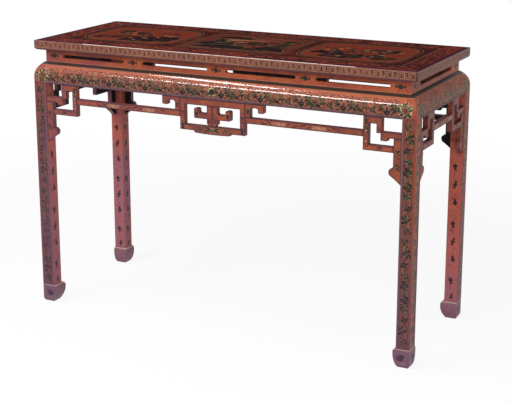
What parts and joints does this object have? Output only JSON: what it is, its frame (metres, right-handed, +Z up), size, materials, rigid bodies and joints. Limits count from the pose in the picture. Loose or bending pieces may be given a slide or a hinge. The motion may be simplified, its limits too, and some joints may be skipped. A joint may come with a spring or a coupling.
{
  "type": "chinese altar table",
  "caption": "Long narrow lacquered table with a framed top, pierced waist, rounded shoulders, key-fret spandrels and straight legs ending in inward-turned hoof feet.",
  "frame": {"origin": "on the floor under the middle of the table", "axes": "+X along the length to the right seen from the front, -Y out of the front, +Z up"},
  "size_m": [1.2684, 0.4784, 0.86],
  "materials": {
    "top_panel_lacquer": "glossy dark red lacquer with painted panels",
    "top_edge_lacquer": "glossy reddish brown lacquer with a gilt key fret on its edge",
    "underside_wood": "black lacquered underside",
    "waist_lacquer": "glossy red lacquer",
    "apron_lacquer": "glossy red lacquer painted with flowering scrolls",
    "leg_lacquer": "glossy red lacquer painted with flowering scrolls",
    "fret_lacquer": "glossy red lacquer with dark outlines",
    "tenon_wood": "bare hardwood"
  },
  "bodies": {
    "root": {"apron_back": "apron_lacquer", "apron_front": "apron_lacquer", "apron_left": "apron_lacquer", "apron_right": "apron_lacquer", "centre_frame_back": "fret_lacquer", "centre_frame_front": "fret_lacquer", "centre_scroll_back_left": "fret_lacquer", "centre_scroll_back_right": "fret_lacquer", "centre_scroll_front_left": "fret_lacquer", "centre_scroll_front_right": "fret_lacquer", "crook_back_left": "fret_lacquer", "crook_back_right": "fret_lacquer", "crook_front_left": "fret_lacquer", "crook_front_right": "fret_lacquer", "fret_back_left": "fret_lacquer", "fret_back_right": "fret_lacquer", "fret_front_left": "fret_lacquer", "fret_front_right": "fret_lacquer", "fret_left_back": "fret_lacquer", "fret_left_front": "fret_lacquer", "fret_right_back": "fret_lacquer", "fret_right_front": "fret_lacquer", "leg_back_left": "leg_lacquer", "leg_back_right": "leg_lacquer", "leg_board_back_left": "fret_lacquer", "leg_board_back_right": "fret_lacquer", "leg_board_front_left": "fret_lacquer", "leg_board_front_right": "fret_lacquer", "leg_board_left_back": "fret_lacquer", "leg_board_left_front": "fret_lacquer", "leg_board_right_back": "fret_lacquer", "leg_board_right_front": "fret_lacquer", "leg_front_left": "leg_lacquer", "leg_front_right": "leg_lacquer", "loose_tenons": "tenon_wood", "stretcher_back_left": "fret_lacquer", "stretcher_back_right": "fret_lacquer", "stretcher_front_left": "fret_lacquer", "stretcher_front_right": "fret_lacquer", "stretcher_left": "fret_lacquer", "stretcher_right": "fret_lacquer", "top_batten_left": "underside_wood", "top_batten_middle": "underside_wood", "top_batten_right": "underside_wood", "top_panel": "top_panel_lacquer", "top_rail_back": "top_edge_lacquer", "top_rail_front": "top_edge_lacquer", "top_rail_left": "top_edge_lacquer", "top_rail_right": "top_edge_lacquer", "waist_back": "waist_lacquer", "waist_front": "waist_lacquer", "waist_left": "waist_lacquer", "waist_right": "waist_lacquer"}
  },
  "joints": []
}
